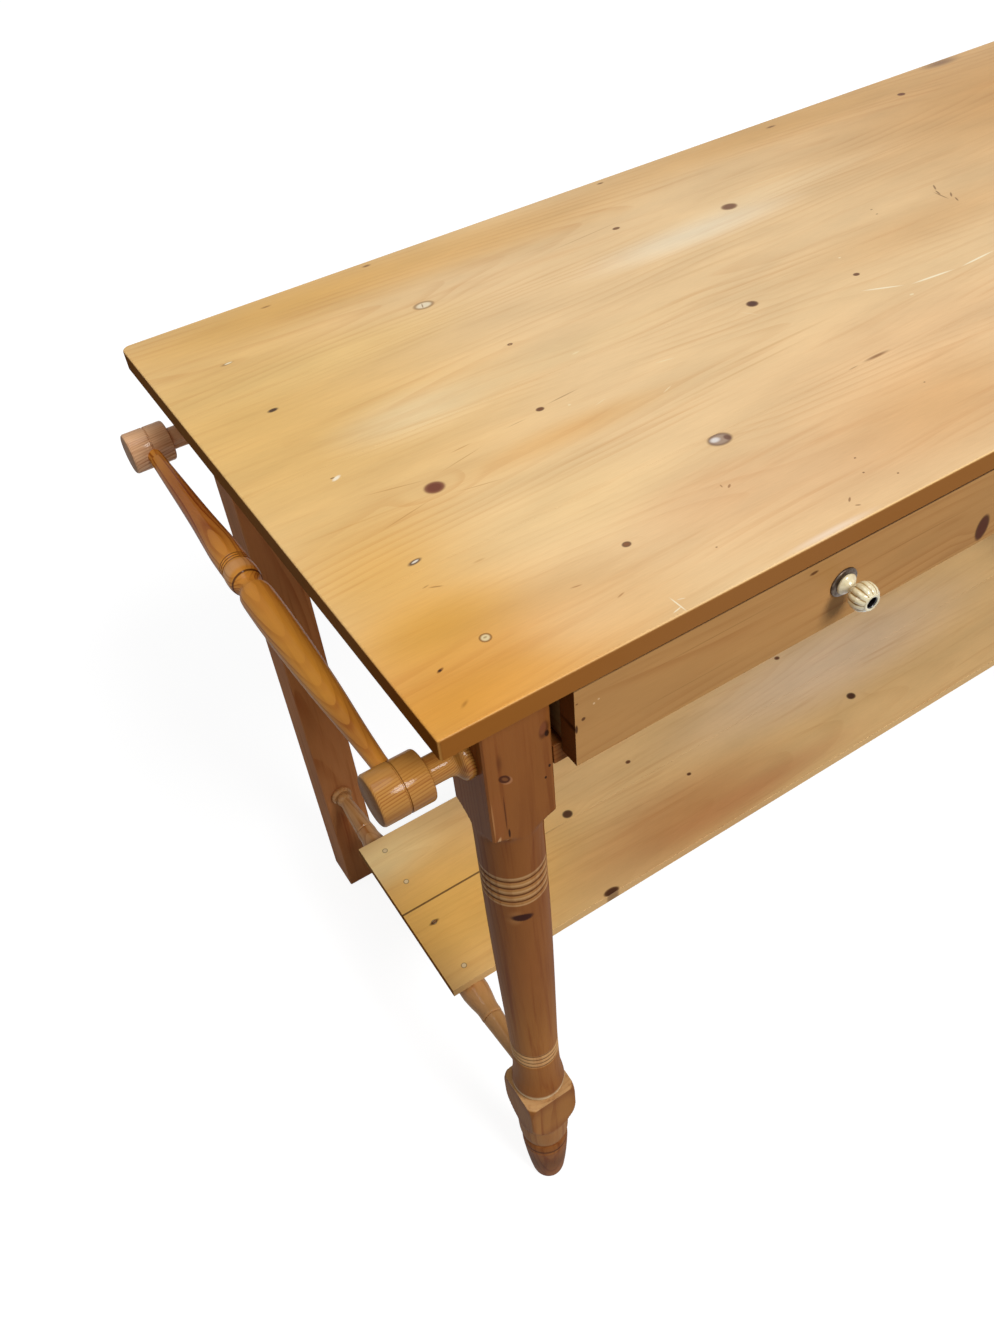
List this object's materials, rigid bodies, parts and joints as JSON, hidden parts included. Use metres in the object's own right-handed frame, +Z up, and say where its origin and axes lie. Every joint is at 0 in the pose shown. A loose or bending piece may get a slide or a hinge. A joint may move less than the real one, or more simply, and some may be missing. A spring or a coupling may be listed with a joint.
{
  "type": "kitchen table",
  "caption": "Pine kitchen table with side-by-side drawers, turned front legs, a low shelf on turned stretchers and a turned towel rail across one end.",
  "frame": {"origin": "on the floor, under the middle of the bounding box", "axes": "+X along the table to the right as seen from the drawer side, +Y from the drawer side to the back, +Z up"},
  "size_m": [1.307, 0.64, 0.9],
  "materials": {
    "top_pine": "waxed honey pine, satin",
    "plug_pine": "pine plug, waxed",
    "drawer_pine": "waxed pine, satin",
    "shelf_pine": "waxed pale pine, satin",
    "stained_pine": "stained and varnished pine, semi-gloss",
    "rail_pine": "stained and varnished pine, semi-gloss",
    "bare_pine": "planed bare pine, matt",
    "glazed_ceramic": "cream glaze, glossy",
    "bronze": "dark antique bronze",
    "steel": "dull plain steel"
  },
  "bodies": {
    "table_frame": {"back_rail": "stained_pine", "centre_stile": "stained_pine", "drawer_guide_centre": "bare_pine", "drawer_guide_left": "bare_pine", "drawer_guide_right": "bare_pine", "drawer_runner_centre": "bare_pine", "drawer_runner_left": "bare_pine", "drawer_runner_right": "bare_pine", "end_rail_left": "stained_pine", "end_rail_right": "stained_pine", "front_bearer_rail": "stained_pine", "front_leg_left": "stained_pine", "front_leg_right": "stained_pine", "rear_leg_left": "stained_pine", "rear_leg_right": "stained_pine", "screw_plugs": "plug_pine", "shelf_board_front": "shelf_pine", "shelf_board_rear": "shelf_pine", "shelf_nails": "steel", "stretcher_left": "stained_pine", "stretcher_right": "stained_pine", "top_board_back": "top_pine", "top_board_front": "top_pine", "top_board_second": "top_pine", "top_board_third": "top_pine", "top_screws": "steel", "towel_bracket_front": "stained_pine", "towel_bracket_rear": "stained_pine", "towel_rail": "rail_pine"},
    "left_drawer": {"left_drawer_back": "bare_pine", "left_drawer_bottom": "bare_pine", "left_drawer_front": "drawer_pine", "left_drawer_side_left": "bare_pine", "left_drawer_side_right": "bare_pine", "left_knob": "glazed_ceramic", "left_knob_bolt": "steel", "left_knob_nut": "steel", "left_knob_rose": "bronze"},
    "right_drawer": {"right_drawer_back": "bare_pine", "right_drawer_bottom": "bare_pine", "right_drawer_front": "drawer_pine", "right_drawer_side_left": "bare_pine", "right_drawer_side_right": "bare_pine", "right_knob": "glazed_ceramic", "right_knob_bolt": "steel", "right_knob_nut": "steel", "right_knob_rose": "bronze"}
  },
  "joints": [
    {"name": "left_drawer_slide", "type": "slide", "parent": "table_frame", "child": "left_drawer", "axis": [0, -1, 0], "range_m": [0, 0.3]},
    {"name": "right_drawer_slide", "type": "slide", "parent": "table_frame", "child": "right_drawer", "axis": [0, -1, 0], "range_m": [0, 0.3]}
  ]
}
